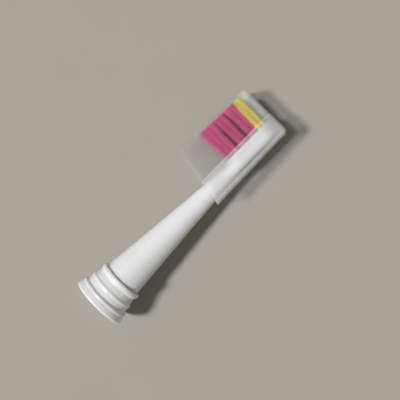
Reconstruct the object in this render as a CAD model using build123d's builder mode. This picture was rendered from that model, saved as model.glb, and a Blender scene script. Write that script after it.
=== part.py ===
from build123d import *
from math import hypot, radians, tan
import os

# An electric toothbrush head with its slip-on travel cap, lying on its side, in millimetres.
# +X runs along the drive axis from the handle end to the tip, +Y is the way the bristles point
# and +Z is up. The origin is the middle of the collar's end face.

# Fits
press_gap = 0.02
hole_gap = 0.05

# Collar with three stepped bands
collar_length = 11.15
flange_length = 3.3
flange_radius = 9.9
flange_rim_radius = 9.15
middle_band_length = 3.25
middle_band_radius = 8.2
middle_rim_radius = 8.2
top_band_radius = 7.75
waist_radius = 7.3
bead_radius = 7.85
bead_width = 1.3
bead_flank = 0.8
bead_end_round = 0.6
rim_width = 0.95
rim_flank = 0.4
rim_rise = 0.1
step_run = 0.3
rim_round = 0.5
hollow_round = 1.5
leg_share = 0.45
recess_radius = 7.2
recess_depth = 3.4

# Neck
foot_radius = 5.9
shoulder_gap = 0.05
neck_length = 46.0
neck_base_radius = 6.8
neck_base_round = 0.35
neck_middle_station = 15.4
neck_middle_radius = 5.4
neck_lower_station = 37.6
neck_lower_radius = 3.5
throat_radius = 2.85
neck_root_length = 6.5
neck_root_radius = 2.5

# Drive shaft socket in the hollow foot
cavity_radius = 4.5
shaft_radius = 2.0
socket_depth = 15.0
socket_floor = 1.6
sleeve_inset = 1.1
sleeve_tube_radius = 3.4
sleeve_flange = 1.2
sleeve_ribs = 4
sleeve_rib_thickness = 1.0
sleeve_rib_relief = 0.25

# Spring steel leaf beside the shaft
clip_thickness = 0.35
clip_width = 2.2
clip_gap = 0.06
clip_lead = 2.5
clip_ramp = 4.0
clip_tail = 1.0
clip_lip = 0.9
clip_bend = 0.25
clip_pocket_depth = 0.85

# Head plate and tuft pad
plate_face = 3.3
plate_back = 1.95
plate_edge_margin = 1.35
plate_back_round = 1.8
plate_heel_half_width = 2.2
flare_length = 9.3
pad_heel_margin = 0.9
pad_heel_length = 4.4
pad_depth = 2.9
pad_edge_round = 0.4
scoop_low_station = 3.9
scoop_low_height = 1.45
scoop_end = 9.0
scoop_overrun = 0.1

# Tufts: round bundles in staggered rows, held by small metal plates
tuft_radius = 0.75
tuft_sides = 12
heel_row_counts = (2, 3, 4)
block_row_counts = (4, 3)
tuft_tip_gap = 0.1
tuft_crown = 0.4
tuft_pitch = 2.3
row_pitch = 1.6
heel_to_first_row = 7.25
middle_block_gap = 2.85
front_block_gap = 3.0
tip_block_gap = 1.7
last_row_to_tip = 2.7
heel_tuft_length = 12.9
tip_tuft_length = 12.35
hole_depth = 2.6
anchor_thickness = 0.3
anchor_height = 1.2
anchor_bite = 0.15
anchor_floor = 0.5

# Travel cap
cap_wall = 0.7
cap_overlap = 5.45
cap_mouth_slant = 8.5
cap_mouth_round = 3.4
cap_mouth_overrun = 0.05
cap_end_gap = 0.65
cap_tip_gap = 0.3
cap_side_gap = 0.3
cap_tuft_gap = 0.5
cap_ledge_gap = 0.35
cap_ledge_taper = 0.6
cap_back_gap = 1.2
cap_back_taper = 1.75
cap_side_taper = 0.5
cap_back_round = 2.2
cap_front_round = 1.8
cap_ledge_round = 0.45
cap_blank_length = 9.0

# Stations along the axis
shoulder_station = collar_length + shoulder_gap
head_start = shoulder_station + neck_length
sleeve_start = recess_depth + sleeve_inset
sleeve_length = socket_depth + socket_floor
sleeve_end = sleeve_start + sleeve_length

# Tuft places: each block has rows of so many tufts, set in from the row before it
tuft_blocks = (
    ("heel_tuft", heel_row_counts, heel_to_first_row),
    ("middle_tuft", block_row_counts, middle_block_gap),
    ("front_tuft", block_row_counts, front_block_gap),
    ("tip_tuft", block_row_counts, tip_block_gap),
)
widest_row = max(max(counts) for block, counts, step in tuft_blocks)
first_row = head_start + heel_to_first_row
tufts = []
station = head_start
for block, counts, step in tuft_blocks:
    number = 0
    for count in counts:
        station += step
        step = row_pitch
        for place in range(count):
            number += 1
            tufts.append((f"{block}_{number}", station, (place - (count - 1) / 2) * tuft_pitch))
last_row = station
brush_length = last_row + last_row_to_tip

hole_radius = tuft_radius + hole_gap
tuft_spacing = hypot(row_pitch, tuft_pitch / 2)
tuft_tip_radius = (tuft_spacing - tuft_tip_gap) / 2
outer_tuft_place = (widest_row - 1) / 2 * tuft_pitch
plate_half_width = outer_tuft_place + hole_radius + plate_edge_margin
tip_centre = brush_length - plate_half_width
tuft_root = plate_face - hole_depth
anchor_place = tuft_root + anchor_floor + anchor_height / 2
anchor_length = 2 * (hole_radius + anchor_bite)

os.makedirs("parts", exist_ok=True)


def tip_height(x):
    """Height of the tuft tips over the drive axis, a straight line from heel row to last row."""
    share = (x - first_row) / (last_row - first_row)
    return plate_face + heel_tuft_length + share * (tip_tuft_length - heel_tuft_length)


def finish(piece, name):
    """Label a finished piece and write it as its own file."""
    piece.label = name
    export_step(piece, f"parts/{name}.step")


def fitting_round(before, corner, after, wanted):
    """Rounding of a section's corner, held to what the shorter of its two legs has room for."""
    arriving = Vector(corner) - Vector(before)
    leaving = Vector(after) - Vector(corner)
    turn = radians(arriving.get_angle(leaving))
    return min(wanted, leg_share * min(arriving.length, leaving.length) / tan(turn / 2))


# Collar: a turned section whose bands each end in a low rounded rim and step down to the next
middle_band_end = flange_length + middle_band_length
waist_station = collar_length - bead_width - bead_flank
collar_bore = foot_radius + press_gap
collar_corners = (
    ((0, recess_radius), 0),
    ((0, flange_radius), rim_round),
    ((flange_length - rim_width, flange_rim_radius - rim_rise), hollow_round),
    ((flange_length - rim_width + rim_flank, flange_rim_radius), rim_round),
    ((flange_length, flange_rim_radius), rim_round),
    ((flange_length + step_run, middle_band_radius), rim_round),
    ((middle_band_end - rim_width, middle_rim_radius - rim_rise), hollow_round),
    ((middle_band_end - rim_width + rim_flank, middle_rim_radius), rim_round),
    ((middle_band_end, middle_rim_radius), rim_round),
    ((middle_band_end + step_run, top_band_radius), rim_round),
    ((waist_station, waist_radius), hollow_round),
    ((waist_station + bead_flank, bead_radius), rim_round),
    ((collar_length, bead_radius), bead_end_round),
    ((collar_length, collar_bore), 0),
    ((recess_depth, collar_bore), 0),
    ((recess_depth, recess_radius), 0),
)
collar_points = [corner for corner, wanted in collar_corners]
collar_rounds = [
    fitting_round(collar_points[n - 1], corner, collar_points[(n + 1) % len(collar_points)], wanted)
    for n, (corner, wanted) in enumerate(collar_corners)
]
with BuildPart() as base_collar:
    with BuildSketch(Plane.XY):
        with BuildLine():
            FilletPolyline(collar_points, radius=collar_rounds, close=True)
        make_face()
    revolve(axis=Axis.X)
finish(base_collar.part, "base_collar")

# Head plate: a slab that flares from the neck, with a rounded back and a scoop beside the neck's root
with BuildPart() as plate:
    with BuildSketch(Plane.XZ.offset(-plate_face)):
        flare_end = head_start + flare_length
        with BuildLine():
            Spline(
                (head_start, plate_heel_half_width),
                (flare_end, plate_half_width),
                tangents=((1, 0), (1, 0)),
            )
            Line((flare_end, plate_half_width), (tip_centre, plate_half_width))
            ThreePointArc(
                (tip_centre, plate_half_width),
                (brush_length, 0),
                (tip_centre, -plate_half_width),
            )
            Line((tip_centre, -plate_half_width), (flare_end, -plate_half_width))
            Spline(
                (flare_end, -plate_half_width),
                (head_start, -plate_heel_half_width),
                tangents=((-1, 0), (-1, 0)),
            )
            Line((head_start, -plate_heel_half_width), (head_start, plate_heel_half_width))
        make_face()
    extrude(amount=plate_face + plate_back)
    fillet(plate.faces().sort_by(Axis.Y)[0].edges().sort_by(Axis.X)[1:], plate_back_round)
    with BuildSketch(Plane.XY):
        scoop_top = plate_face + scoop_overrun
        scoop_from = (head_start - scoop_overrun, throat_radius)
        scoop_to = (head_start + scoop_end, scoop_top)
        with BuildLine():
            ThreePointArc(scoop_from, (head_start + scoop_low_station, scoop_low_height), scoop_to)
            Polyline(scoop_to, (scoop_from[0], scoop_top), scoop_from)
        make_face()
    extrude(amount=plate_half_width, both=True, mode=Mode.SUBTRACT)

# Tuft pad: the raised face of the plate, with a round heel that stands in the scoop
with BuildPart() as pad:
    with BuildSketch(Plane.XZ.offset(-plate_face)):
        pad_heel = first_row - hole_radius - pad_heel_margin
        pad_side = pad_heel + pad_heel_length
        with BuildLine():
            ThreePointArc((pad_side, -plate_half_width), (pad_heel, 0), (pad_side, plate_half_width))
            Line((pad_side, plate_half_width), (tip_centre, plate_half_width))
            ThreePointArc(
                (tip_centre, plate_half_width),
                (brush_length, 0),
                (tip_centre, -plate_half_width),
            )
            Line((tip_centre, -plate_half_width), (pad_side, -plate_half_width))
        make_face()
    extrude(amount=pad_depth)
    fillet(pad.faces().sort_by(Axis.Y)[-1].edges(), pad_edge_round)

# Brush body: hollow foot, tapering neck and head plate in one moulding
face_plane = Plane(origin=(0, plate_face, 0), x_dir=(1, 0, 0), z_dir=(0, 1, 0))
tuft_places = [(x, -z) for name, x, z in tufts]
with BuildPart() as brush_body:
    with BuildSketch(Plane.XY):
        neck_top = (shoulder_station, neck_base_radius)
        neck_root = head_start + neck_root_length
        with BuildLine():
            Polyline(
                (neck_root, 0),
                (sleeve_end, 0),
                (sleeve_end, cavity_radius),
                (recess_depth, cavity_radius),
                (recess_depth, foot_radius),
                (shoulder_station, foot_radius),
                neck_top,
            )
            Spline(
                neck_top,
                (collar_length + neck_middle_station, neck_middle_radius),
                (collar_length + neck_lower_station, neck_lower_radius),
                (head_start, throat_radius),
                (neck_root, neck_root_radius),
            )
            Line((neck_root, neck_root_radius), (neck_root, 0))
        make_face()
    revolve(axis=Axis.X)
    shoulder_edge = brush_body.edges().filter_by(GeomType.CIRCLE).sort_by(SortBy.RADIUS)[-1]
    fillet(shoulder_edge, neck_base_round)
    add(plate.part)
    add(pad.part)
    with BuildSketch(face_plane):
        with Locations(*tuft_places):
            Circle(hole_radius)
    extrude(amount=-hole_depth, mode=Mode.SUBTRACT)
    with BuildSketch(face_plane):
        with Locations(*tuft_places):
            Rectangle(anchor_thickness + 2 * press_gap, anchor_length + 2 * press_gap)
    extrude(amount=anchor_floor - hole_depth - press_gap, mode=Mode.SUBTRACT)
finish(brush_body.part, "brush_body")

# Shaft sleeve: a ribbed insert with a blind round bore and a pocket for the clip
sleeve_radius = cavity_radius - press_gap
rib_height = sleeve_radius - sleeve_rib_relief - shaft_radius
clip_pocket_length = clip_lead + 2 * clip_ramp + clip_tail + clip_gap
with BuildPart() as shaft_sleeve:
    with BuildSketch(Plane.YZ.offset(sleeve_start)):
        Circle(sleeve_tube_radius)
        with PolarLocations(shaft_radius + rib_height / 2, sleeve_ribs, start_angle=45):
            Rectangle(rib_height, sleeve_rib_thickness)
    extrude(amount=sleeve_length - press_gap)
    for flange_start in (sleeve_start, sleeve_end - sleeve_flange - press_gap):
        with BuildSketch(Plane.YZ.offset(flange_start)):
            Circle(sleeve_radius)
        extrude(amount=sleeve_flange)
    with BuildSketch(Plane.YZ.offset(sleeve_start)):
        Circle(shaft_radius)
    extrude(amount=socket_depth, mode=Mode.SUBTRACT)
    with BuildSketch(Plane.YZ.offset(sleeve_start)):
        with Locations((-(shaft_radius + clip_pocket_depth) / 2, 0)):
            Rectangle(shaft_radius + clip_pocket_depth, clip_width + 2 * clip_gap)
    extrude(amount=clip_pocket_length, mode=Mode.SUBTRACT)
finish(shaft_sleeve.part, "shaft_sleeve")

# Shaft clip: a bowed leaf in the pocket, hooked over the mouth of the sleeve
clip_floor = -(shaft_radius + clip_pocket_depth - clip_gap - clip_thickness / 2)
clip_crest = -(shaft_radius + clip_gap + clip_thickness / 2)
clip_mouth = sleeve_start - clip_gap - clip_thickness / 2
with BuildPart() as shaft_clip:
    with BuildSketch(Plane.XY):
        with BuildLine() as clip_line:
            FilletPolyline(
                (clip_mouth, clip_floor - clip_lip),
                (clip_mouth, clip_floor),
                (sleeve_start + clip_lead, clip_floor),
                (sleeve_start + clip_lead + clip_ramp, clip_crest),
                (sleeve_start + clip_lead + 2 * clip_ramp, clip_floor),
                (sleeve_start + clip_lead + 2 * clip_ramp + clip_tail, clip_floor),
                radius=clip_bend,
            )
        trace(line_width=clip_thickness)
    extrude(amount=clip_width / 2, both=True)
finish(shaft_clip.part, "shaft_clip")

# Tuft anchors: one small plate across the root of each tuft
with BuildPart() as tuft_anchors:
    with Locations(*[(x, anchor_place, z) for name, x, z in tufts]):
        Box(anchor_thickness, anchor_height, anchor_length)
finish(tuft_anchors.part, "tuft_anchors")

# Tufts: straight in the hole, flaring to a trimmed crown, split at the root by the anchor
for name, x, z in tufts:
    tip = tip_height(x)
    with BuildPart() as tuft:
        for height, radius in (
            (tuft_root, tuft_radius),
            (plate_face, tuft_radius),
            (tip - tuft_crown, tuft_tip_radius),
            (tip, tuft_tip_radius - tuft_crown),
        ):
            with BuildSketch(Plane(origin=(x, height, z), x_dir=(1, 0, 0), z_dir=(0, 1, 0))):
                RegularPolygon(radius, tuft_sides)
        loft(ruled=True)
        with Locations((x, anchor_place, z)):
            Box(
                anchor_thickness + 2 * press_gap,
                anchor_height + 2 * press_gap,
                anchor_length,
                mode=Mode.SUBTRACT,
            )
    finish(tuft.part, name)

# Travel cap: a wide lobe round the plate and a narrower one round the tufts, both hollow
cap_mouth = head_start - cap_overlap
cap_start = cap_mouth - cap_blank_length
cap_inner_end = brush_length + cap_end_gap
tuft_field_half_width = outer_tuft_place + tuft_tip_radius


def cap_front(x, wall):
    """Height of the front wall over the tuft tips."""
    return tip_height(x) + cap_tip_gap + wall


def cap_ledge(x, wall):
    """Height of the ledge where the wide lobe steps in to the narrow one."""
    return plate_face + cap_ledge_gap + tan(radians(cap_ledge_taper)) * (x - cap_mouth) + wall


def cap_back(x, wall):
    """Height of the back wall behind the plate."""
    return -(plate_back + cap_back_gap + tan(radians(cap_back_taper)) * (cap_inner_end - x) + wall)


def cap_side(x, wall, held_half_width):
    """Half width of a lobe that clears what it goes round and narrows towards the tip."""
    return held_half_width + tan(radians(cap_side_taper)) * (cap_inner_end - x) + wall


def plate_lobe(wall):
    """Tapered block round the plate, rounded at its back and its end."""
    with BuildPart() as lobe:
        for x in (cap_start, cap_inner_end + wall):
            low, high = cap_back(x, wall), cap_ledge(x, wall)
            with BuildSketch(Plane.YZ.offset(x)):
                with Locations(((low + high) / 2, 0)):
                    Rectangle(high - low, 2 * cap_side(x, wall, plate_half_width + cap_side_gap))
        loft(ruled=True)
        layers = lobe.edges().group_by(Axis.X)
        rounded = layers[2].sort_by(Axis.Y)[:3] + layers[1].sort_by(Axis.Y)[:2]
        fillet(rounded, cap_back_round - cap_wall + wall)
    return lobe.part


def tuft_lobe(wall):
    """Tapered block round the tufts, rounded at its front and its end."""
    with BuildPart() as lobe:
        for x in (cap_start, cap_inner_end + wall):
            high = cap_front(x, wall)
            with BuildSketch(Plane.YZ.offset(x)):
                with Locations((high / 2, 0)):
                    Rectangle(high, 2 * cap_side(x, wall, tuft_field_half_width + cap_tuft_gap))
        loft(ruled=True)
        layers = lobe.edges().group_by(Axis.X)
        rounded = layers[2].sort_by(Axis.Y)[-3:] + layers[1].sort_by(Axis.Y)[-2:]
        fillet(rounded, cap_front_round - cap_wall + wall)
    return lobe.part


def mouth_x(y):
    """Station of the slanted mouth at a height over the drive axis."""
    return cap_mouth + tan(radians(cap_mouth_slant)) * y


with BuildPart() as travel_cap:
    add(plate_lobe(cap_wall))
    ledge_rim = travel_cap.faces().sort_by(Axis.Y)[-1].edges().sort_by(Axis.X)[1:]
    fillet(ledge_rim, cap_ledge_round)
    add(tuft_lobe(cap_wall))
    add(plate_lobe(0), mode=Mode.SUBTRACT)
    add(tuft_lobe(0), mode=Mode.SUBTRACT)
    with BuildSketch(Plane.XY):
        below = -cap_front(cap_start, cap_wall)
        above = 2 * cap_front(cap_start, cap_wall)
        front_left = cap_front(cap_mouth, cap_wall) + cap_mouth_overrun
        past_corner = mouth_x(front_left) + 2 * cap_mouth_round
        front_right = cap_front(past_corner, cap_wall) + cap_mouth_overrun
        with BuildLine():
            FilletPolyline(
                (mouth_x(below), below),
                (mouth_x(front_left), front_left),
                (past_corner, front_right),
                radius=cap_mouth_round,
            )
            Polyline(
                (past_corner, front_right),
                (past_corner, above),
                (cap_start - cap_wall, above),
                (cap_start - cap_wall, below),
                (mouth_x(below), below),
            )
        make_face()
    extrude(amount=2 * plate_half_width, both=True, mode=Mode.SUBTRACT)
finish(travel_cap.part, "travel_cap")
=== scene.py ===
"""Looks of an electric toothbrush head with its travel cap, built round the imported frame."""

import math

import bpy
import numpy as np
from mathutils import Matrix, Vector


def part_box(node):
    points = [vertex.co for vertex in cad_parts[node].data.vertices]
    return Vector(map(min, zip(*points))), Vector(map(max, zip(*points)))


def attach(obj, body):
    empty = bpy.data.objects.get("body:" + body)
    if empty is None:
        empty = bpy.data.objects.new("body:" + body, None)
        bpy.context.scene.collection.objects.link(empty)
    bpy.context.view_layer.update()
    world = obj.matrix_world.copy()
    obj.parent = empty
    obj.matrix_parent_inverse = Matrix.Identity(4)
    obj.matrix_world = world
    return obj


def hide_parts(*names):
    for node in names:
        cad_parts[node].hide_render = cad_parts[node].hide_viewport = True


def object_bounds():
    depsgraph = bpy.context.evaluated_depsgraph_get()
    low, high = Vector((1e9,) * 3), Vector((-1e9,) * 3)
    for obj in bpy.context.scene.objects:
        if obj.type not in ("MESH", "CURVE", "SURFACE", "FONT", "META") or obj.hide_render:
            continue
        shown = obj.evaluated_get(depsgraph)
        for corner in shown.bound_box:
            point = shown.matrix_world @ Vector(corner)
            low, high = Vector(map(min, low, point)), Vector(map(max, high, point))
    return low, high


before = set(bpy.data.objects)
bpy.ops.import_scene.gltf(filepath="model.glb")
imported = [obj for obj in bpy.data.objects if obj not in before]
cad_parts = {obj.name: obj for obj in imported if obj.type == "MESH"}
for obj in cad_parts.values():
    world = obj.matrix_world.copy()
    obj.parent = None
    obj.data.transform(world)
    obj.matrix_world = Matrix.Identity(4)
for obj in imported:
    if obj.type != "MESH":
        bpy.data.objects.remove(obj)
CAD_LOW, CAD_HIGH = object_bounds()

bl_info = {
    "name": "Toothbrush Head Looks",
    "version": (1, 0, 0),
    "blender": (4, 5, 0),
    "location": "View3D > Sidebar > Brush Head",
    "description": "Dresses the packed toothbrush head with bristles, plastics and a frosted travel cap",
    "category": "Object",
}

MM = 0.001

# Neck: the stretch that is a surface of revolution, its bare part and the radius at both ends of that
NECK_SPAN = (11.6 * MM, 52.0 * MM)
NECK_BARE = (11.9 * MM, 47.0 * MM)
NECK_RADII = (6.73 * MM, 3.65 * MM)
# How far its points may lie from a straight taper, the degree of its profile, how close to the profile a
# point of the neck lies, how well its normals agree, and how far an edge may dip in how many rounds
NECK_TAPER_REACH = 0.5 * MM
NECK_DEGREE = 6
NECK_CLOSE = 0.005 * MM
NECK_ALIGNED = 0.8
NECK_DIP = 0.01 * MM
NECK_ROUNDS = 60

TUFT_BLOCKS = ("heel_tuft", "middle_tuft", "front_tuft", "tip_tuft")
TUFT_SEED = 7
ROW_DEPTH = 0.1 * MM
GOLDEN_ANGLE = math.pi * (3 - math.sqrt(5))
FILAMENT_SIDES = 5
FILAMENT_SHARES = (0.2, 0.4, 0.66, 0.985, 1.0)
FILAMENT_TIP_GIRTH = 0.55

# Cap mesh: points on a quarter turn, fill points on a flat, rings along the wall, round the end and on
# the lip, the least roundings, and how far from the mouth the section lies that gives its heights
CORNER_POINTS = 9
FLAT_SHARES = (0.012, 0.25, 0.5, 0.75, 0.988)
WALL_RINGS = 25
END_RINGS = 8
LIP_SHARES = (0.2, 0.5, 0.8)
LEAST_ROUND = 0.02 * MM
LEAST_END_ROUND = 0.2 * MM
MOUTH_SECTION = 3 * MM
# Shares of the rim haze, which is more frosting on the roundings and partly a painted highlight line: least
# on the ledge, at the foot of its fillet and on the front
LEDGE_RIM = 0.2
FILLET_RIM = 0.3
FRONT_RIM = 0.05

# Depth of materials
NYLON_DEPTH = {
    "IOR": 1.53,
    "Specular IOR Level": 0.3,
    "Subsurface Weight": 0.6,
    "Subsurface Radius": (1.0, 0.5, 0.7),
    "Subsurface Scale": 0.3 * MM,
}
WHITE_DEPTH = {
    "IOR": 1.46,
    "Subsurface Weight": 0.85,
    "Subsurface Radius": (1.0, 1.0, 1.0),
    "Subsurface Scale": 2.5 * MM,
}
FROST_IOR = 1.25
# Noise cells a metre, and depth of the relief
PLASTIC_CLOUD = 180.0
PLASTIC_RELIEF = 0.03 * MM
METAL_RELIEF = 0.02 * MM
FROST_CLOUD = 260.0
FROST_GRAIN = 5200.0
FROST_RELIEF = 0.01 * MM
FLOOR_MOTTLE = 60.0
# Frosting at a slant: haze that is added, from where on, and between which slants the blur fades out
SLANT_HAZE = 0.05
SLANT_START = 0.4
BLUR_FADE = (0.15, 0.4)

SENSOR_WIDTH = 36.0
CLIP_NEAR, CLIP_FAR = 0.005, 10.0


def length(name, description, millimetres):
    """A length property with a default in millimetres."""
    return bpy.props.FloatProperty(
        name=name,
        description=description,
        default=millimetres * MM,
        subtype="DISTANCE",
        unit="LENGTH",
        precision=5,
    )


def angle(name, description, degrees):
    """An angle property with a default in degrees."""
    return bpy.props.FloatProperty(
        name=name, description=description, default=math.radians(degrees), subtype="ANGLE", unit="ROTATION"
    )


def colour(name, description, red, green, blue):
    """A linear colour property."""
    return bpy.props.FloatVectorProperty(
        name=name, description=description, default=(red, green, blue), subtype="COLOR", size=3, min=0, max=1
    )


def amount(name, description, value):
    """A plain number property."""
    return bpy.props.FloatProperty(name=name, description=description, default=value)


class BrushTuftSettings(bpy.types.PropertyGroup):
    """Sizes and colours of the bristle tufts."""

    filaments: bpy.props.IntProperty(name="Filaments", description="Filaments in a tuft", default=60, min=7)
    filament_radius: length("Filament radius", "Half the thickness of a filament", 0.085)
    bundle_radius: length("Bundle radius", "Radius of the filament centres at the plate", 0.7)
    crown_radius: length("Crown radius", "Reach of the filament centres along the head at the tips", 1.14)
    crown_side: length("Crown side", "Reach of the filament centres along the row at the tips", 1.1)
    block_fan: length("Block fan", "How far a block's first row leans back at the tips", 0.35)
    block_reach: length("Block reach", "How far a pink block's last row leans forward at the tips", 0.18)
    tip_lean: length("Tip lean", "How far the last row of the tip block leans back at the tips", 0.3)
    row_bow: length("Row bow", "How far a block's outer rows bow towards its middle", 0.06)
    row_spread: length("Row spread", "How far a short row's outer tufts lean aside at most", 0.85)
    edge_lean: length("Edge lean", "How far a wide row's outer tufts lean in", 0.3)
    crown_drop: length("Crown drop", "How much lower a tuft's rim is than its middle", 0.1)
    stray: length("Stray", "How far a filament's tip strays from its place", 0.07)
    plate_face: length("Plate face", "Height of the plate's face over the drive axis", 3.3)
    hidden_root: length("Hidden root", "Length of filament inside its hole", 1.2)
    pink: colour("Pink", "Colour of the heel, middle and front tufts", 0.82, 0.085, 0.305)
    yellow: colour("Yellow", "Colour of the tip tufts", 1.0, 0.8, 0.145)


class BrushCapSettings(bpy.types.PropertyGroup):
    """Sizes and finish of the travel cap."""

    wall: length("Wall", "Thickness of the cap's wall", 0.7)
    mouth: length("Mouth", "Station of the mouth on the drive axis", 51.75)
    end: length("End", "Station of the outer face of the end", 84.05)
    back_round: length("Back rounding", "Outer rounding along the back", 2.2)
    front_round: length("Front rounding", "Outer rounding along the front", 1.8)
    ledge_round: length("Ledge rounding", "Outer rounding along the ledge", 0.4)
    ledge_fillet: length("Ledge fillet", "Hollow rounding where the narrow lobe stands on the ledge", 0.3)
    end_round: length("End rounding", "Rounding round the closed end", 1.9)
    corner_round: length("Mouth corner", "Rounding of the mouth's front corner", 3.4)
    lip: length("Lip", "How far the rounded lip stands out of the mouth", 0.12)
    slant: angle("Slant", "Lean of the mouth", 8.5)
    front_height: length("Front height", "Height of the tuft tips at their first station", 16.2)
    front_fall: length("Front fall", "How far the tips fall over their run", 0.55)
    front_start: length("Front start", "First station of the tuft tips", 64.45)
    front_run: length("Front run", "Length over which the tips fall", 15.55)
    front_gap: length("Front gap", "Room between the tuft tips and the inside of the front", 0.3)
    ledge_height: length("Ledge height", "Height of the ledge's inside at the mouth", 3.65)
    ledge_rise: angle("Ledge rise", "Rise of the ledge towards the end", 0.6)
    back_depth: length("Back depth", "Depth of the back's inside at the end", 3.15)
    back_taper: angle("Back taper", "Taper of the back", 1.75)
    wide_half: length("Wide half", "Half the inner width of the wide lobe at the end", 5.9)
    narrow_half: length("Narrow half", "Half the inner width of the narrow lobe at the end", 4.885)
    side_taper: angle("Side taper", "Taper of the sides", 0.5)
    frost: colour("Frost", "Colour of the frosting", 0.9, 0.9, 0.91)
    haze: amount("Haze", "Share that one surface of the narrow lobe scatters", 0.018)
    veil: amount("Veil", "Share that a surface of the wide lobe scatters besides", 0.062)
    # Rim haze: more frosting on the roundings, and partly a painted highlight line along the ledge and back
    rim_haze_and_highlight: amount("Rim haze", "Share that the ledge's rounded rim scatters besides", 0.37)
    rim_start: amount("Rim start", "Share of the ledge's rim haze at the mouth", 0.3)
    rim_fade: length("Rim fade", "Way from the mouth over which the ledge's rim haze grows to its whole", 9.0)
    lip_haze: amount("Lip haze", "Share that the rounded lip scatters besides", 0.03)
    # End haze: more frosting on the closed end, and partly painted light that lightens the tufts' shade near
    # the end
    end_haze_and_painted_light: amount("End haze", "Share that the closed end scatters besides", 0.42)
    end_face: amount("End face", "Share of the end haze that the flat of the closed end keeps", 0.35)
    end_reach: length("End reach", "How far the closed end's haze reaches back", 3.9)
    blur: amount("Blur", "Share of what passes a surface that its matt grain bends", 0.65)
    lobe_clear: amount("Lobe clearness", "How much less of that a surface of the wide lobe bends", 0.35)
    lamp_block: amount("Lamp block", "Least share of a lamp's light that a surface scatters away", 0.12)


class BrushPlasticSettings(bpy.types.PropertyGroup):
    """Colours of the moulded and metal pieces."""

    neck: colour("Neck", "Satin white of the neck and head plate", 0.79, 0.79, 0.795)
    collar: colour("Collar", "Glossy white of the collar", 0.8, 0.8, 0.8)
    sleeve: colour("Sleeve", "Natural plastic of the shaft sleeve", 0.6, 0.59, 0.56)
    clip: colour("Clip", "Spring steel of the shaft clip", 0.46, 0.46, 0.47)
    anchor: colour("Anchor", "Brass of the tuft anchors", 0.6, 0.42, 0.16)


class BrushStageSettings(bpy.types.PropertyGroup):
    """Floor, light and camera."""

    floor: colour("Floor", "Pale floor", 0.37, 0.35, 0.315)
    floor_half: length("Floor half", "Half the floor's side", 1500.0)
    floor_slope: angle("Floor slope", "Slope of the floor, which comes near both collar and cap", 1.5)
    sky: amount("Sky", "Strength of the even light from all round", 0.22)
    sky_colour: colour("Sky colour", "Colour of the even light", 1.0, 0.965, 0.9)
    key: amount("Key", "Strength of the soft key light", 3.16)
    key_colour: colour("Key colour", "Colour of the key light", 0.975, 0.985, 1.0)
    key_angle: angle("Key size", "Angle that the key light fills", 9.0)
    key_way: bpy.props.FloatVectorProperty(
        name="Key way",
        description="Way that the key light goes",
        default=(0.62, -0.45, -1.0),
        subtype="DIRECTION",
    )
    camera_height: length("Camera height", "Height of the camera over the drive axis", 250.0)
    camera_x: length("Camera X", "Place of the camera along the drive axis", 47.9)
    camera_y: length("Camera Y", "Place of the camera across the drive axis", 0.57)
    camera_turn: angle("Camera turn", "Turn of the picture about the vertical", -44.75)
    lens: amount("Lens", "Focal length in millimetres on a 36 mm sensor", 67.8)


class BrushHeadSettings(bpy.types.PropertyGroup):
    """All settings of the brush head."""

    tufts: bpy.props.PointerProperty(type=BrushTuftSettings)
    cap: bpy.props.PointerProperty(type=BrushCapSettings)
    plastics: bpy.props.PointerProperty(type=BrushPlasticSettings)
    stage: bpy.props.PointerProperty(type=BrushStageSettings)


def node_tools(material):
    """Empty a material's tree and give functions that add a node and link two sockets."""
    material.use_nodes = True
    tree = material.node_tree
    tree.nodes.clear()

    def add(kind, **values):
        node = tree.nodes.new(kind)
        for name, value in values.items():
            if name in node.inputs:
                node.inputs[name].default_value = value
            else:
                setattr(node, name, value)
        return node

    def link(out_socket, in_socket):
        tree.links.new(out_socket, in_socket)

    return add, link


def shade(rgb, factor):
    """A colour made lighter or darker by one factor, with full alpha."""
    return tuple(min(1.0, channel * factor) for channel in rgb) + (1.0,)


def noise(add, link, coordinates, scale, detail=3.0, roughness=0.55):
    """A noise texture on the given coordinates; scale is in cells a metre."""
    texture = add("ShaderNodeTexNoise", Scale=scale, Detail=detail, Roughness=roughness)
    link(coordinates, texture.inputs["Vector"])
    return texture.outputs["Fac"]


def ramp(add, link, value, low, high, bottom=0.3, top=0.7):
    """Map a value from bottom..top to low..high, held at both ends."""
    node = add("ShaderNodeMapRange")
    for name, number in zip(("From Min", "From Max", "To Min", "To Max"), (bottom, top, low, high)):
        node.inputs[name].default_value = number
    link(value, node.inputs["Value"])
    return node.outputs["Result"]


def combine(add, link, operation, first, second):
    """One number from two by a math node, held to 0..1; each is a socket or a plain number."""
    node = add("ShaderNodeMath", operation=operation, use_clamp=True)
    for value, socket in zip((first, second), node.inputs):
        if isinstance(value, (int, float)):
            socket.default_value = value
        else:
            link(value, socket)
    return node.outputs[0]


def blend_colours(add, link, factor, first, second):
    """Mix two colours by a factor socket."""
    node = add("ShaderNodeMix", data_type="RGBA")
    node.inputs[6].default_value = first
    node.inputs[7].default_value = second
    link(factor, node.inputs[0])
    return node.outputs[2]


def principled(name, **shader_values):
    """A material with one principled shader, its functions add and link, and its shader's sockets."""
    material = bpy.data.materials.new(name)
    add, link = node_tools(material)
    shader = add("ShaderNodeBsdfPrincipled", **shader_values)
    link(shader.outputs["BSDF"], add("ShaderNodeOutputMaterial").inputs["Surface"])
    return material, add, link, shader.inputs


def relief(add, link, height, strength, depth, normal):
    """Raise a surface by a height socket: a bump linked to the shader's normal."""
    bump = add("ShaderNodeBump", Strength=strength, Distance=depth)
    link(height, bump.inputs["Height"])
    link(bump.outputs["Normal"], normal)


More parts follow.
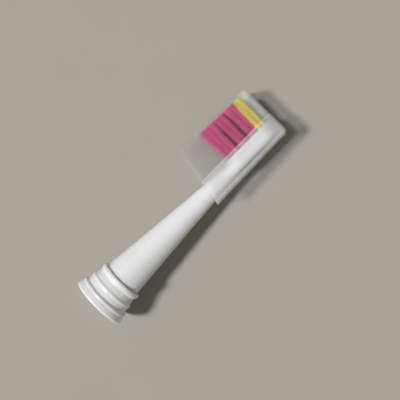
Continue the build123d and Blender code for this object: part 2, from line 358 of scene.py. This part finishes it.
def moulded_plastic(name, rgb, rough_low, rough_high, grain, bump, **shader_values):
    """Moulded plastic: faint cloudy colour, uneven gloss and a fine moulding grain."""
    material, add, link, shader = principled(name, **shader_values)
    place = add("ShaderNodeTexCoord").outputs["Object"]
    cloud = noise(add, link, place, PLASTIC_CLOUD)
    fine = noise(add, link, place, grain, detail=4.0)
    link(blend_colours(add, link, cloud, shade(rgb, 0.97), shade(rgb, 1.02)), shader["Base Color"])
    link(ramp(add, link, fine, rough_low, rough_high), shader["Roughness"])
    relief(add, link, fine, bump, PLASTIC_RELIEF, shader["Normal"])
    return material


def strip_metal(name, rgb, stretch, rough_low, rough_high):
    """Rolled strip metal: fine streaks along one axis in colour, gloss and relief."""
    material, add, link, shader = principled(name, Metallic=1.0)
    mapping = add("ShaderNodeMapping", Scale=stretch)
    link(add("ShaderNodeTexCoord").outputs["Object"], mapping.inputs["Vector"])
    streak = noise(add, link, mapping.outputs["Vector"], 1.0, detail=4.0)
    link(blend_colours(add, link, streak, shade(rgb, 0.85), shade(rgb, 1.1)), shader["Base Color"])
    link(ramp(add, link, streak, rough_low, rough_high), shader["Roughness"])
    relief(add, link, streak, 0.15, METAL_RELIEF, shader["Normal"])
    return material


def nylon(name, rgb):
    """Dyed nylon: each filament has its own shade and gloss, and is a little paler towards its tip."""
    material, add, link, shader = principled(name, **NYLON_DEPTH)
    along = add("ShaderNodeAttribute", attribute_name="along").outputs["Fac"]
    strand = add("ShaderNodeAttribute", attribute_name="strand").outputs["Fac"]
    rising = ramp(add, link, along, 0.0, 1.0, 0.0, 1.0)
    tone = add("ShaderNodeMix", data_type="RGBA", blend_type="MULTIPLY")
    tone.inputs[0].default_value = 1.0
    link(blend_colours(add, link, rising, shade(rgb, 1.0), shade(rgb, 1.06)), tone.inputs[6])
    link(blend_colours(add, link, strand, (0.84, 0.84, 0.84, 1), (1.0, 1.0, 1.0, 1)), tone.inputs[7])
    link(tone.outputs[2], shader["Base Color"])
    link(ramp(add, link, strand, 0.42, 0.6, 0.0, 1.0), shader["Roughness"])
    return material


def frosted_plastic(name, rgb, lamp_block):
    """Frosted see-through plastic. Each surface scatters the share that the mesh's haze attribute gives,
    a little more at a slant. Of the rest, the share of the blur attribute passes bent by the fine matt
    grain, so that what is behind looks soft, and the remainder passes straight, as all does at a slant.
    Lamps and diffuse light pass straight, less a share that lamps lose at every surface."""
    material, add, link, shader = principled(name, IOR=FROST_IOR)

    def times(first, second):
        return combine(add, link, "MULTIPLY", first, second)

    def remainder(share):
        return combine(add, link, "SUBTRACT", 1.0, share)

    place = add("ShaderNodeTexCoord").outputs["Object"]
    haze = add("ShaderNodeAttribute", attribute_name="haze").outputs["Fac"]
    blur = add("ShaderNodeAttribute", attribute_name="blur").outputs["Fac"]
    facing = add("ShaderNodeLayerWeight", Blend=0.3).outputs["Facing"]
    path = add("ShaderNodeLightPath").outputs
    cloud = noise(add, link, place, FROST_CLOUD)
    grain = noise(add, link, place, FROST_GRAIN, detail=2.0)
    uneven = times(haze, ramp(add, link, cloud, 0.85, 1.15))
    slanted = ramp(add, link, facing, 0.0, SLANT_HAZE, SLANT_START, 1.0)
    passed = remainder(combine(add, link, "ADD", uneven, slanted))
    lit = combine(add, link, "MAXIMUM", path["Is Shadow Ray"], path["Is Diffuse Ray"])
    bent = times(remainder(lit), times(blur, ramp(add, link, facing, 1.0, 0.0, *BLUR_FADE)))
    hidden = remainder(times(passed, remainder(bent)))
    lost = times(path["Is Shadow Ray"], lamp_block)
    link(blend_colours(add, link, cloud, shade(rgb, 0.98), shade(rgb, 1.01)), shader["Base Color"])
    link(ramp(add, link, grain, 0.6, 0.78), shader["Roughness"])
    link(combine(add, link, "DIVIDE", times(passed, bent), hidden), shader["Transmission Weight"])
    link(combine(add, link, "MAXIMUM", hidden, lost), shader["Alpha"])
    relief(add, link, grain, 0.12, FROST_RELIEF, shader["Normal"])
    return material


def pale_floor(name, rgb):
    """Plain pale floor with a very faint mottle."""
    material, add, link, shader = principled(name, Roughness=0.75)
    mottle = noise(add, link, add("ShaderNodeTexCoord").outputs["Object"], FLOOR_MOTTLE, detail=5.0)
    link(blend_colours(add, link, mottle, shade(rgb, 0.97), shade(rgb, 1.03)), shader["Base Color"])
    return material


def dress_node(name, material):
    """Give a CAD node its finished material."""
    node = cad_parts[name]
    if not node.material_slots:
        raise RuntimeError(f"{name} has no material slot")
    for slot in node.material_slots:
        slot.material = material


def new_piece(name, points, faces, caps, attributes, material):
    """A smooth mesh object at the origin: points, quads or triangles, end polygons and point attributes."""
    mesh = bpy.data.meshes.new(name)
    faces = faces.reshape(-1, faces.shape[-1]).tolist() + [list(cap) for cap in caps]
    mesh.from_pydata(points.reshape(-1, 3).tolist(), [], faces)
    if mesh.validate():
        raise RuntimeError(f"{name} has faulty faces")
    mesh.shade_smooth()
    for label, values in attributes.items():
        layer = mesh.attributes.new(label, "FLOAT", "POINT")
        layer.data.foreach_set("value", np.ascontiguousarray(values, dtype=np.float32).ravel())
    mesh.materials.append(material)
    piece = bpy.data.objects.new(name, mesh)
    bpy.context.scene.collection.objects.link(piece)
    return piece


def node_arrays(name):
    """Merged points, triangles and corner normals copied from a CAD node, less triangles that collapse."""
    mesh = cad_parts[name].data
    points = np.empty(len(mesh.vertices) * 3, dtype=np.float32)
    corners = np.empty(len(mesh.loops), dtype=np.int32)
    normals = np.empty(len(mesh.loops) * 3, dtype=np.float32)
    mesh.vertices.foreach_get("co", points)
    mesh.loops.foreach_get("vertex_index", corners)
    mesh.corner_normals.foreach_get("vector", normals)
    points, merged = np.unique(points.reshape(-1, 3), axis=0, return_inverse=True)
    faces = merged.ravel()[corners].reshape(-1, 3)
    _, number, count = np.unique(np.sort(faces, axis=1), axis=0, return_inverse=True, return_counts=True)
    sound = (faces != np.roll(faces, 1, axis=1)).all(axis=1) & (count[number.ravel()] == 1)
    return points.astype(float), faces[sound], normals.reshape(-1, 3, 3)[sound]


def neck_profile(points):
    """Radius of the neck as a polynomial of the station, fitted to the points of its bare stretch.

    These are the points that lie near a straight taper between the stretch's two ends.
    """
    station, radius = points[:, 0], np.hypot(points[:, 1], points[:, 2])
    taper = np.interp(station, NECK_BARE, NECK_RADII)
    bare = (station > NECK_BARE[0]) & (station < NECK_BARE[1]) & (np.abs(radius - taper) < NECK_TAPER_REACH)
    return np.polynomial.Polynomial.fit(station[bare], radius[bare], NECK_DEGREE)


def round_neck(points, faces, normals):
    """Fill the flat dents that long triangles leave in the neck.

    The neck is a surface of revolution: its radius is the profile at the station, and its outward normal
    is the radial direction less the profile's slope along the axis. In each round an edge is halved where
    it is the one of both its triangles that dips farthest under this surface, and its middle is set out
    along the radius to the profile. Rounds go on until no such edge dips by more than the tolerance.
    """
    profile = neck_profile(points)
    slope = profile.deriv()

    def dip(place):
        return profile(place[..., 0]) - np.hypot(place[..., 1], place[..., 2])

    def outward(place):
        along = -slope(place[..., 0]) * np.hypot(place[..., 1], place[..., 2])
        normal = np.stack((along, place[..., 1], place[..., 2]), axis=-1)
        return normal / np.linalg.norm(normal, axis=-1, keepdims=True)

    for _ in range(NECK_ROUNDS):
        inside_span = (points[:, 0] > NECK_SPAN[0]) & (points[:, 0] < NECK_SPAN[1])
        on_neck = inside_span & (np.abs(dip(points)) < NECK_CLOSE)
        aligned = (normals * outward(points[faces])).sum(axis=-1).min(axis=1) > NECK_ALIGNED
        neck_face = on_neck[faces].all(axis=1) & aligned
        edges = np.sort(np.stack((faces, np.roll(faces, -1, axis=1)), axis=-1), axis=-1)
        keys, number = np.unique(edges.reshape(-1, 2), axis=0, return_inverse=True)
        number = number.reshape(-1, 3)
        middle = points[keys].mean(axis=1)
        depth = np.where(neck_face[:, None], dip(middle)[number], 0.0)
        worst = depth.argmax(axis=1)[:, None]
        chosen = np.take_along_axis(number, worst, axis=1)[:, 0]
        deep = np.take_along_axis(depth, worst, axis=1)[:, 0] > NECK_DIP
        halved = np.bincount(chosen[deep], minlength=len(keys)) == 2
        if not halved.any():
            break
        hit = deep & halved[chosen]
        place = middle[halved]
        place[:, 1:] *= (profile(place[:, 0]) / np.hypot(place[:, 1], place[:, 2]))[:, None]
        added = (len(points) + np.cumsum(halved) - 1)[chosen[hit]]
        points = np.concatenate((points, place))
        order = (worst[hit] + np.arange(3)) % 3
        first, second, apex = np.take_along_axis(faces[hit], order, axis=1).T
        halves = np.concatenate((np.stack((first, added, apex)), np.stack((added, second, apex))), axis=1).T
        faces = np.concatenate((faces[~hit], halves))
        neck_face = np.concatenate((neck_face[~hit], np.ones(len(halves), dtype=bool)))
        normals = np.concatenate((normals[~hit], outward(points[halves])))
        normals[neck_face] = outward(points[faces[neck_face]])
    return points, faces, normals


def make_neck(material):
    """Copy neck and head plate from the CAD node, with the neck rounded out between its stations."""
    points, faces, normals = round_neck(*node_arrays("brush_body"))
    piece = new_piece("brush_body_moulding", points, faces, (), {}, material)
    piece.data.normals_split_custom_set(normals.reshape(-1, 3).tolist())
    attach(piece, "brush")
    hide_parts("brush_body")
    return piece


def ring_quads(rings, sides):
    """Vertex numbers of the quads between neighbouring closed rings of a grid."""
    ring = np.arange(rings - 1)[:, None] * sides
    side = np.arange(sides)[None, :]
    after = (side + 1) % sides
    return np.stack((ring + side, ring + after, ring + sides + after, ring + sides + side), axis=-1)


def filament_bundle(centre, tip, lean, bow, aside, settings, rng):
    """Points of a tuft's filaments, as an array of filaments, rings, sides and coordinates.

    A filament starts at its place on a sunflower spiral, the square root of its number times the golden
    angle. Above the plate its reach grows from the bundle to the crown radius, along the head with the
    height to the power 0.6 and along the row with its square root, so that rows close soon above the
    plate. The whole tuft leans along the head with the square of the height, bows as a parabola that is
    nil at plate and tip, and leans aside with the square root of the height.
    The tips drop towards the rim and stray a little. The last two rings round the tip off.
    """
    count, sides = settings.filaments, FILAMENT_SIDES
    start = settings.plate_face - settings.hidden_root
    root = settings.hidden_root / (tip - start)
    share = np.array((0.0, root, *FILAMENT_SHARES))
    free = np.clip((share - root) / (1 - root), 0, 1)
    girth = np.where(share < 1, 1.0, FILAMENT_TIP_GIRTH)
    number = np.arange(count) + 0.5
    spread = np.sqrt(number / count)
    bearing = number * GOLDEN_ANGLE + rng.uniform(0, 2 * math.pi)
    outward = np.stack((np.cos(bearing), np.sin(bearing)), axis=-1) * spread[:, None]
    gain = np.stack((free**0.6, np.sqrt(free)), axis=-1)
    crown = np.array((settings.crown_radius, settings.crown_side))
    reach = settings.bundle_radius + (crown - settings.bundle_radius) * gain
    across = outward[:, None, :] * reach[None, :, :]
    across[:, :, 0] += lean * free**2 + bow * 4 * free * (1 - free)
    across[:, :, 1] += aside * np.sqrt(free)
    across += rng.normal(0, settings.stray, (count, 1, 2)) * free[None, :, None] ** 2
    top = tip - settings.crown_drop * spread**2 - rng.uniform(0, 1, count) * settings.stray
    height = start + (top[:, None] - start) * share[None, :]
    turn = np.arange(sides) * (2 * math.pi / sides)
    radius = settings.filament_radius * girth
    ring_x = across[:, :, None, 0] + radius[None, :, None] * np.cos(turn)
    ring_z = across[:, :, None, 1] - radius[None, :, None] * np.sin(turn)
    ring_y = np.broadcast_to(height[:, :, None], ring_x.shape)
    points = np.stack((centre[0] + ring_x, ring_y, centre[1] + ring_z), axis=-1)
    along = np.broadcast_to(share[None, :, None], ring_x.shape)
    strand = np.broadcast_to(rng.uniform(0, 1, count)[:, None, None], ring_x.shape)
    return points, along, strand


def tuft_bends(names, tip_block, settings):
    """How far each tuft of a block leans along the head, bows there and leans aside.

    The first row of a pink block leans back and its last row forward, and the last row of the tip block
    leans back, each in proportion to the place in the block. A row that is narrower than the block's
    widest one spreads its outer tufts towards that width, and the outermost tufts of the widest row lean
    in a little to meet them.
    """
    middles = np.array([(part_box(name)[0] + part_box(name)[1]) / 2 for name in names])
    station, side = middles[:, 0], middles[:, 2]
    share = (station - station.min()) / (station.max() - station.min())
    if tip_block:
        lean = -settings.tip_lean * share
    else:
        lean = settings.block_reach * share - settings.block_fan * (1 - share)
    same_row = np.abs(station[:, None] - station[None, :]) < ROW_DEPTH
    row_width = np.max(np.where(same_row, np.abs(side)[None, :], 0.0), axis=1)
    widest = np.abs(side).max()
    wanted = np.clip(side * (widest / row_width - 1), -settings.row_spread, settings.row_spread)
    outermost = np.abs(side) > widest - ROW_DEPTH
    aside = np.where(outermost, -settings.edge_lean * np.sign(side), wanted)
    return np.stack((lean, settings.row_bow * (1 - 2 * share), aside), axis=-1)


def make_tuft(node, bend, settings, material, rng):
    """Build one tuft's filaments in place of its CAD solid."""
    low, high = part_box(node)
    centre = ((low.x + high.x) / 2, (low.z + high.z) / 2)
    points, along, strand = filament_bundle(centre, high.y, *bend, settings, rng)
    count, rings, sides = points.shape[:3]
    first = np.arange(count) * rings * sides
    quads = (first[:, None, None, None] + ring_quads(rings, sides)[None]).reshape(-1, 4)
    root = first[:, None] + np.arange(sides)[::-1]
    crown = first[:, None] + (rings - 1) * sides + np.arange(sides)
    caps = np.concatenate((root, crown)).tolist()
    piece = new_piece(f"{node}_filaments", points, quads, caps, {"along": along, "strand": strand}, material)
    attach(piece, "brush")
    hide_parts(node)
    return piece


def cap_outline():
    """Half outline of the cap as weights of its named heights, half widths and roundings.

    The outline runs from the middle of the back over the back rounding, the ledge rounding, the hollow
    fillet and the front rounding to the middle of the front. Each point is a weighted sum: y of back,
    ledge, front and the four roundings, z of both half widths and the four roundings. Rounding points
    come from sine and cosine of a quarter turn, and flat stretches are filled in between them.
    Returns y weights, z weights and, for each point, its shares of the wide lobe's veil and of the rim haze,
    which is partly a painted highlight line.
    """
    turn = np.linspace(0, math.pi / 2, CORNER_POINTS)
    rise, fall, crest = 1 - np.cos(turn), 1 - np.sin(turn), np.sin(2 * turn)

    def corner(height, width, rounding, y_weight, z_weight, veil, rim):
        y, z = np.zeros((len(turn), 7)), np.zeros((len(turn), 6))
        y[:, height] = z[:, width] = 1
        y[:, 3 + rounding], z[:, 2 + rounding] = y_weight, z_weight
        return y, z, np.stack((veil + 0 * turn, rim + 0 * turn), axis=-1)

    def middle(height, veil):
        return np.eye(7)[height : height + 1], np.zeros((1, 6)), np.array(((veil, 0.0),))

    runs = (
        middle(0, 1.0),
        corner(0, 0, 0, rise, -fall, 1.0, crest),
        corner(1, 0, 1, -fall, -rise, 1.0, np.maximum(LEDGE_RIM, crest)),
        corner(1, 1, 2, rise, fall, fall, FILLET_RIM * fall),
        corner(2, 1, 3, -fall, -rise, 0.0, FRONT_RIM * crest),
        middle(2, 0.0),
    )
    fill = np.array(FLAT_SHARES)[:, None]
    columns = []
    for column in range(3):
        rows = [runs[0][column]]
        for run in runs[1:]:
            rows += [rows[-1][-1:] * (1 - fill) + run[column][:1] * fill, run[column]]
        columns.append(np.concatenate(rows))
    return columns


def cap_features(x, inset, cap):
    """Named heights, half widths and roundings of the cap at stations x, drawn in by an inset.

    All walls are straight tapers along the drive axis: the front follows the tuft tips, the ledge rises
    a little, back and sides narrow towards the tip. A raised rounding shrinks by the inset and a hollow
    one grows.
    """
    inner_end = cap.end - cap.wall
    tips = cap.front_height - cap.front_fall * (x - cap.front_start) / cap.front_run
    front = tips + cap.front_gap + cap.wall
    ledge = cap.ledge_height + math.tan(cap.ledge_rise) * (x - cap.mouth) + cap.wall
    back = -(cap.back_depth + math.tan(cap.back_taper) * (inner_end - x) + cap.wall)
    widen = math.tan(cap.side_taper) * (inner_end - x) + cap.wall

    def raised(size):
        return np.maximum(size - inset, LEAST_ROUND) + 0 * x

    hollow = cap.ledge_fillet + inset + 0 * x
    rounds = [raised(cap.back_round), raised(cap.ledge_round), hollow, raised(cap.front_round)]
    heights = np.stack([back + inset, ledge - inset, front - inset] + rounds, axis=-1)
    widths = np.stack([cap.wide_half + widen - inset, cap.narrow_half + widen - inset] + rounds, axis=-1)
    return heights, widths


def cap_rings(stations, inset, cap, outline):
    """Points of half rings: stations are given for each ring and outline point."""
    y_weights, z_weights = outline[:2]
    heights, widths = cap_features(stations, inset, cap)
    y = np.einsum("rpf,pf->rp", heights, y_weights)
    z = np.einsum("rpf,pf->rp", widths, z_weights)
    return np.stack((stations, y, z), axis=-1)


def mouth_station(y, front, cap):
    """Station of the mouth at a height: a slanted line, bent back along an arc at the front corner."""
    rise = np.clip(y - (front - cap.corner_round), 0, cap.corner_round)
    bend = cap.corner_round - np.sqrt(np.maximum(cap.corner_round**2 - rise**2, 0))
    return cap.mouth + math.tan(cap.slant) * y + bend


def cap_wall_rings(inset, cap, outline):
    """Rings of one face of the wall, from the mouth to the closed end.

    Stations run evenly from the slanted mouth to where the end rounding starts. Then the rings follow a
    quarter circle: the station gains its sine, and the outline draws in by one minus its cosine.
    """
    points = len(outline[2])
    end, end_round = cap.end - inset, max(cap.end_round - inset, LEAST_END_ROUND)
    middle = np.full((1, points), cap.mouth + MOUTH_SECTION)
    near = cap_rings(middle, inset, cap, outline)
    front = cap_rings(middle, 0.0, cap, outline)[0, -1, 1]
    start = mouth_station(near[:, :, 1], front, cap)
    share = np.linspace(0, 1, WALL_RINGS)[:, None]
    straight = start + share * (end - end_round - start)
    rings = [cap_rings(straight, inset, cap, outline)]
    for turn in np.linspace(0, math.pi / 2, END_RINGS)[1:]:
        station = np.full((1, points), end - end_round * (1 - math.sin(turn)))
        rings.append(cap_rings(station, inset + end_round * (1 - math.cos(turn)), cap, outline))
    return np.concatenate(rings)


def whole_rings(half):
    """Mirror half rings across the middle plane into closed rings."""
    mirrored = half[:, -2:0:-1] * np.array((1, 1, -1))
    return np.concatenate((half, mirrored), axis=1)


def make_cap(cap, material):
    """Build the cap as one closed wall: outer face, rounded lip, inner face.

    The lip stands out of the mouth by a half sine of the way through the wall. The haze of a point is the
    cap's own plus the veil of the wide lobe plus the rim haze along the roundings, which is partly a painted
    highlight line and on the ledge grows from the mouth on. Near the closed end it is at least the end haze,
    which grows towards the end and is partly painted light that lightens the tufts' shade there, and the
    lip adds its own. The blur is the cap's own, less on the wide lobe.
    """
    outline = cap_outline()
    outer = cap_wall_rings(0.0, cap, outline)
    inner = cap_wall_rings(cap.wall, cap, outline)
    share = np.array(LIP_SHARES)[:, None, None]
    lip = outer[:1] * (1 - share) + inner[:1] * share
    lip[:, :, 0] -= cap.lip * np.sin(np.pi * share[:, :, 0])
    rings = whole_rings(np.concatenate((outer[::-1], lip, inner)))
    marks = np.concatenate((outline[2], outline[2][-2:0:-1]))
    from_mouth = np.clip((rings[:, :, 0] - cap.mouth) / cap.rim_fade, 0, 1)
    rim_share = np.where(rings[:, :, 1] > 0, cap.rim_start + (1 - cap.rim_start) * from_mouth, 1.0)
    # the rim haze is partly a painted highlight line along the roundings
    wall_haze_and_highlight = cap.haze + cap.veil * marks[:, 0] + cap.rim_haze_and_highlight * marks[:, 1] * rim_share
    # near the closed end the haze is partly painted light that lightens the tufts' shade
    near_end = np.clip((rings[:, :, 0] - cap.end + cap.end_reach) / cap.end_reach, 0, 1)
    near_end[[0, -1]] *= cap.end_face
    haze = np.maximum(wall_haze_and_highlight, cap.haze + cap.end_haze_and_painted_light * near_end)
    haze[len(outer) - 1 : len(outer) + len(lip) + 1] += cap.lip_haze
    blur = np.broadcast_to(cap.blur - cap.lobe_clear * marks[:, 0], haze.shape)
    count, sides = rings.shape[:2]
    caps = (range(sides), range(count * sides - 1, (count - 1) * sides - 1, -1))
    quads = ring_quads(count, sides)[:, :, ::-1]
    piece = new_piece("travel_cap_shell", rings, quads, caps, {"haze": haze, "blur": blur}, material)
    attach(piece, "cap")
    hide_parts("travel_cap")
    return piece


class BRUSHHEAD_OT_neck(bpy.types.Operator):
    """Round out the neck and finish it and the head plate in satin white"""

    bl_idname = "brush_head.neck"
    bl_label = "Neck and Head Plate"

    def execute(self, context):
        rgb = context.scene.brush_head.plastics.neck
        satin = moulded_plastic("neck satin white", rgb, 0.34, 0.46, grain=3600.0, bump=0.06, **WHITE_DEPTH)
        make_neck(satin)
        return {"FINISHED"}


class BRUSHHEAD_OT_collar(bpy.types.Operator):
    """Finish the stepped collar in glossy white"""

    bl_idname = "brush_head.collar"
    bl_label = "Collar"

    def execute(self, context):
        rgb = context.scene.brush_head.plastics.collar
        name = "collar glossy white"
        glossy = moulded_plastic(name, rgb, 0.26, 0.36, grain=2400.0, bump=0.04, **WHITE_DEPTH)
        dress_node("base_collar", glossy)
        return {"FINISHED"}


class BRUSHHEAD_OT_socket(bpy.types.Operator):
    """Finish the shaft sleeve and its spring clip"""

    bl_idname = "brush_head.socket"
    bl_label = "Shaft Socket"

    def execute(self, context):
        plastics = context.scene.brush_head.plastics
        rgb = plastics.sleeve
        natural = moulded_plastic("sleeve plastic", rgb, 0.4, 0.55, grain=3000.0, bump=0.1, IOR=1.48)
        steel = strip_metal("clip spring steel", plastics.clip, (300.0, 6000.0, 6000.0), 0.2, 0.38)
        dress_node("shaft_sleeve", natural)
        dress_node("shaft_clip", steel)
        return {"FINISHED"}


class BRUSHHEAD_OT_tufts(bpy.types.Operator):
    """Build every tuft as a bundle of filaments and finish the anchors at their roots"""

    bl_idname = "brush_head.tufts"
    bl_label = "Tufts"

    def execute(self, context):
        settings = context.scene.brush_head
        rng = np.random.default_rng(TUFT_SEED)
        pink = nylon("pink nylon", settings.tufts.pink)
        yellow = nylon("yellow nylon", settings.tufts.yellow)
        for block in TUFT_BLOCKS:
            names = [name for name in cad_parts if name.startswith(block)]
            names.sort(key=lambda name: int(name.rsplit("_", 1)[1]))
            tip_block = block == "tip_tuft"
            for name, bend in zip(names, tuft_bends(names, tip_block, settings.tufts)):
                piece = make_tuft(name, bend, settings.tufts, yellow if tip_block else pink, rng)
        brass = strip_metal("anchor brass", settings.plastics.anchor, (6000.0, 6000.0, 500.0), 0.25, 0.42)
        dress_node("tuft_anchors", brass)
        return {"FINISHED"}


class BRUSHHEAD_OT_cap(bpy.types.Operator):
    """Build the frosted travel cap"""

    bl_idname = "brush_head.cap"
    bl_label = "Travel Cap"

    def execute(self, context):
        cap = context.scene.brush_head.cap
        make_cap(cap, frosted_plastic("frosted cap", cap.frost, cap.lamp_block))
        return {"FINISHED"}


class BRUSHHEAD_OT_stage(bpy.types.Operator):
    """Set out the pale floor, the soft light and the camera over the part"""

    bl_idname = "brush_head.stage"
    bl_label = "Stage"

    def execute(self, context):
        scene = context.scene
        stage = scene.brush_head.stage
        half, ground = stage.floor_half, CAD_LOW.z
        rise = half * math.tan(stage.floor_slope)
        low, high = ground - rise, ground + rise
        corners = np.array(((-half, -half, low), (half, -half, high), (half, half, high), (-half, half, low)))
        floor = new_piece("floor", corners, np.arange(4), (), {}, pale_floor("pale floor", stage.floor))
        world = bpy.data.worlds.new("even light")
        add, link = node_tools(world)
        background = add("ShaderNodeBackground", Color=(*stage.sky_colour, 1.0), Strength=stage.sky)
        link(background.outputs["Background"], add("ShaderNodeOutputWorld").inputs["Surface"])
        scene.world = world
        key = bpy.data.lights.new("key", "SUN")
        key.energy = stage.key
        key.angle = stage.key_angle
        key.color = stage.key_colour
        lamp = bpy.data.objects.new("key", key)
        lamp.rotation_euler = Vector(stage.key_way).to_track_quat("-Z", "Y").to_euler()
        scene.collection.objects.link(lamp)
        camera = bpy.data.cameras.new("camera")
        camera.sensor_width = SENSOR_WIDTH
        camera.lens = stage.lens
        camera.clip_start, camera.clip_end = CLIP_NEAR, CLIP_FAR
        viewer = bpy.data.objects.new("camera", camera)
        viewer.location = (stage.camera_x, stage.camera_y, stage.camera_height)
        viewer.rotation_euler = (0.0, 0.0, stage.camera_turn)
        scene.collection.objects.link(viewer)
        scene.camera = viewer
        scene.view_settings.view_transform = "Standard"
        return {"FINISHED"}


PIECE_OPERATORS = (
    BRUSHHEAD_OT_neck,
    BRUSHHEAD_OT_collar,
    BRUSHHEAD_OT_socket,
    BRUSHHEAD_OT_tufts,
    BRUSHHEAD_OT_cap,
    BRUSHHEAD_OT_stage,
)


class BRUSHHEAD_PT_panel(bpy.types.Panel):
    """Lists the pieces of the brush head"""

    bl_label = "Brush Head"
    bl_idname = "BRUSHHEAD_PT_panel"
    bl_space_type = "VIEW_3D"
    bl_region_type = "UI"
    bl_category = "Brush Head"

    def draw(self, context):
        for operator in PIECE_OPERATORS:
            self.layout.operator(operator.bl_idname)


CLASSES = (
    BrushTuftSettings,
    BrushCapSettings,
    BrushPlasticSettings,
    BrushStageSettings,
    BrushHeadSettings,
    *PIECE_OPERATORS,
    BRUSHHEAD_PT_panel,
)


def register():
    for cls in CLASSES:
        bpy.utils.register_class(cls)
    bpy.types.Scene.brush_head = bpy.props.PointerProperty(type=BrushHeadSettings)


def unregister():
    del bpy.types.Scene.brush_head
    for cls in reversed(CLASSES):
        bpy.utils.unregister_class(cls)


def main():
    register()
    bpy.ops.brush_head.neck()
    bpy.ops.brush_head.collar()
    bpy.ops.brush_head.socket()
    bpy.ops.brush_head.tufts()
    bpy.ops.brush_head.cap()
    bpy.ops.brush_head.stage()


if __name__ == "__main__":
    main()
